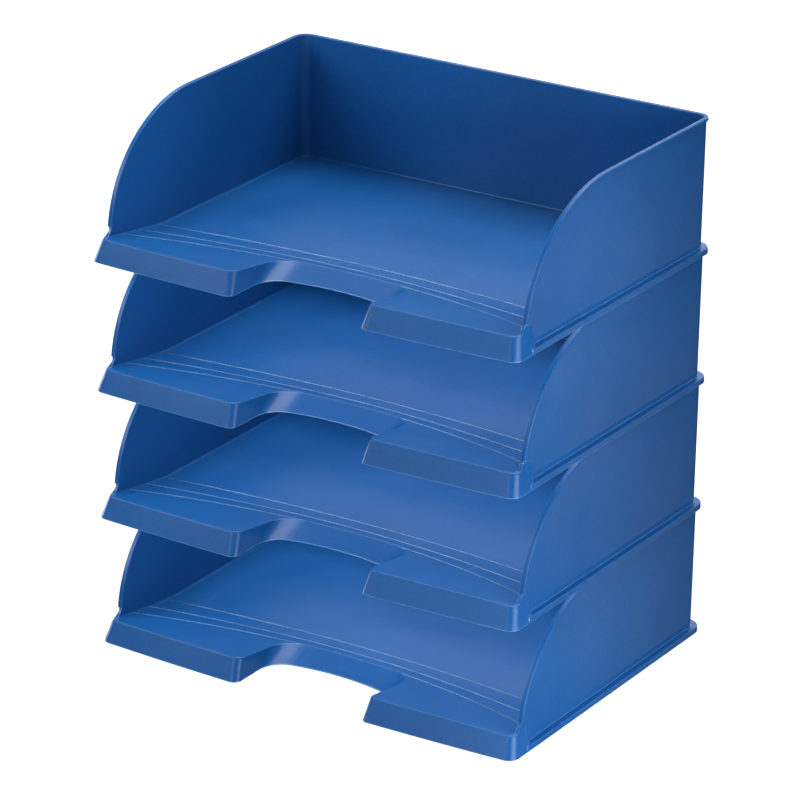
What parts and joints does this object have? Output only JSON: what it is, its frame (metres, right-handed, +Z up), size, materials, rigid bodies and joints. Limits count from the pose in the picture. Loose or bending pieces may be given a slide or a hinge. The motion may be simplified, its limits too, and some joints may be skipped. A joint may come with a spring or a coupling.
{
  "type": "letter tray",
  "caption": "Stack of landscape letter trays with high curved side walls, a ramped floor, a finger cut-out in the front lip and a base flange that seats on the rim below.",
  "frame": {"origin": "middle of the footprint, on the desk surface", "axes": "+X to the right as seen from the open front, +Y to the closed back, +Z up"},
  "size_m": [0.363, 0.273, 0.4048],
  "materials": {
    "blue_plastic": "satin"
  },
  "bodies": {
    "tray_bottom": {"tray_bottom": "blue_plastic"},
    "tray_second": {"tray_second": "blue_plastic"},
    "tray_third": {"tray_third": "blue_plastic"},
    "tray_top": {"tray_top": "blue_plastic"}
  },
  "joints": [
    {"name": "second_lift", "type": "slide", "parent": "tray_bottom", "child": "tray_second", "axis": [0, 0, 1], "range_m": [0, 0.06]},
    {"name": "third_lift", "type": "slide", "parent": "tray_second", "child": "tray_third", "axis": [0, 0, 1], "range_m": [0, 0.06]},
    {"name": "top_lift", "type": "slide", "parent": "tray_third", "child": "tray_top", "axis": [0, 0, 1], "range_m": [0, 0.06]}
  ]
}
